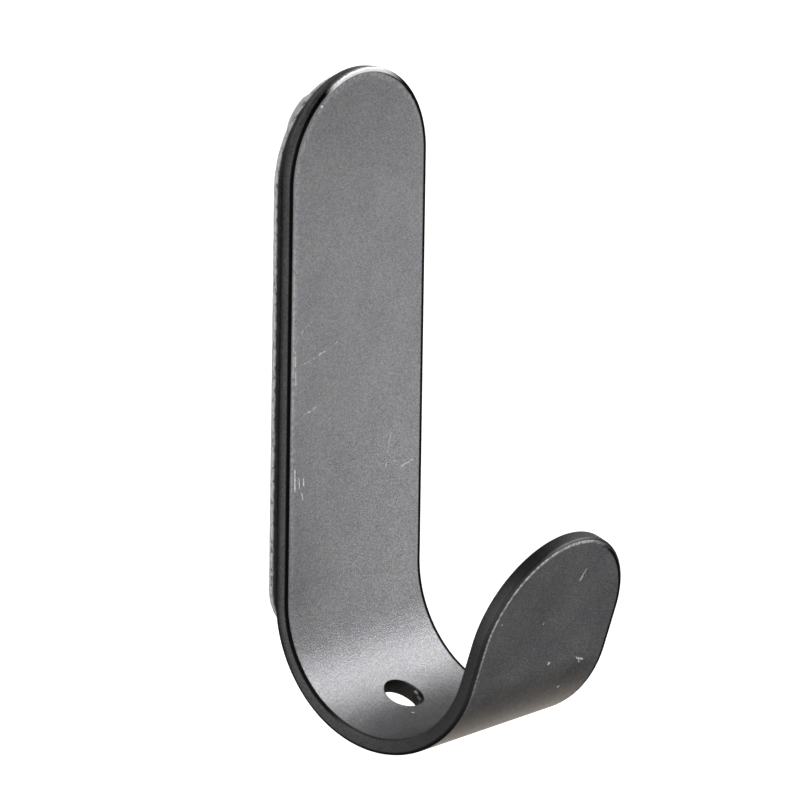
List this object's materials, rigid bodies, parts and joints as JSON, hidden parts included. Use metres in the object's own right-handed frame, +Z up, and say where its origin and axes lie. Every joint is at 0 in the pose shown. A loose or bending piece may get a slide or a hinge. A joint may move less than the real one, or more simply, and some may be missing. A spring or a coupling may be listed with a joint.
{
  "type": "adhesive razor hook",
  "caption": "J-shaped wall hook for a razor: a bent satin metal strip with round ends and a drain hole, on a foam tape pad with a peel-off liner.",
  "frame": {"origin": "centre of the pad's wall side, on the wall", "axes": "+Z up, +Y into the wall, so the hook stands out along -Y, and +X to the right for a person who faces the wall"},
  "size_m": [0.025, 0.0379, 0.08],
  "materials": {
    "satin_strip": "dark grey, fine sandblasted satin",
    "adhesive": "clear, tacky",
    "foam": "closed-cell foam, cut edge",
    "liner": "coated paper"
  },
  "bodies": {
    "hook": {"hook_strip": "satin_strip", "front_adhesive": "adhesive", "foam_core": "foam", "rear_adhesive": "adhesive"},
    "liner": {"release_liner": "liner"}
  },
  "joints": [
    {"name": "liner_peel", "type": "slide", "parent": "hook", "child": "liner", "axis": [0, 1, 0], "range_m": [0, 0.03]}
  ]
}
